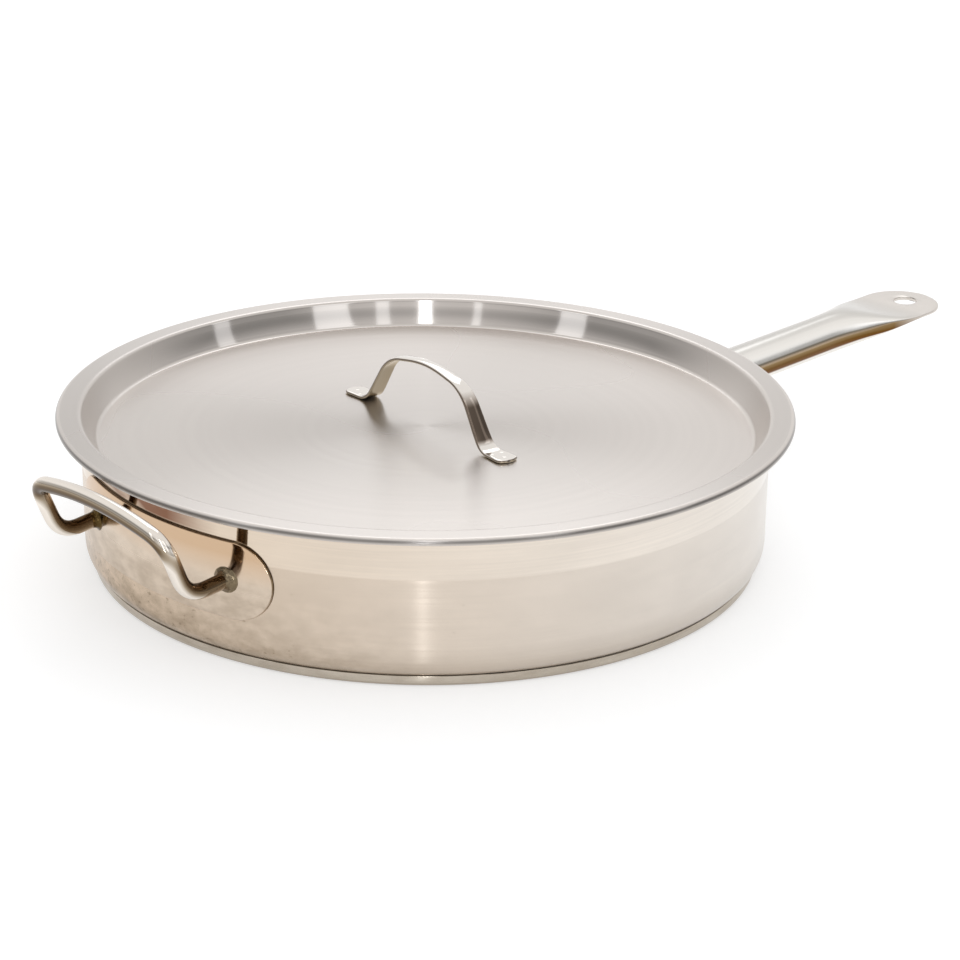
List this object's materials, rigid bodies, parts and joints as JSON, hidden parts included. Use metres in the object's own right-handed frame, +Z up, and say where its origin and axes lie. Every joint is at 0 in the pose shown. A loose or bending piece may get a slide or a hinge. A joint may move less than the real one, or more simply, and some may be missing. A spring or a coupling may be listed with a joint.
{
  "type": "saute pan with lid",
  "caption": "Wide low straight-sided stainless steel saute pan with a capped base, a long tubular handle, a bent-rod helper handle and a recessed lid with a strap grip.",
  "frame": {"origin": "centre of the flat underside of the base, on the pan's axis", "axes": "+Z up out of the pan, +X out along the long handle, +Y to the left of the long handle"},
  "size_m": [0.7039, 0.428, 0.1143],
  "materials": {
    "brushed_stainless": "satin stainless steel, brushed round the pan, with a polished band under the rim",
    "polished_stainless": "buffed bright stainless steel",
    "bare_aluminium": "plain rolled aluminium, enclosed by the base cap",
    "weld_stainless": "weld bead with a straw-brown heat tint"
  },
  "bodies": {
    "pan": {"pan_shell": "brushed_stainless", "base_core": "bare_aluminium", "base_cap": "polished_stainless", "long_handle": "polished_stainless", "long_handle_plate": "polished_stainless", "long_handle_weld": "weld_stainless", "helper_handle": "polished_stainless", "helper_plate": "polished_stainless", "helper_weld_left": "weld_stainless", "helper_weld_right": "weld_stainless"},
    "lid": {"lid_disc": "brushed_stainless", "lid_strap": "polished_stainless"}
  },
  "joints": [
    {"name": "lid_lift", "type": "slide", "parent": "pan", "child": "lid", "axis": [0, 0, 1], "range_m": [0, 0.2]}
  ]
}
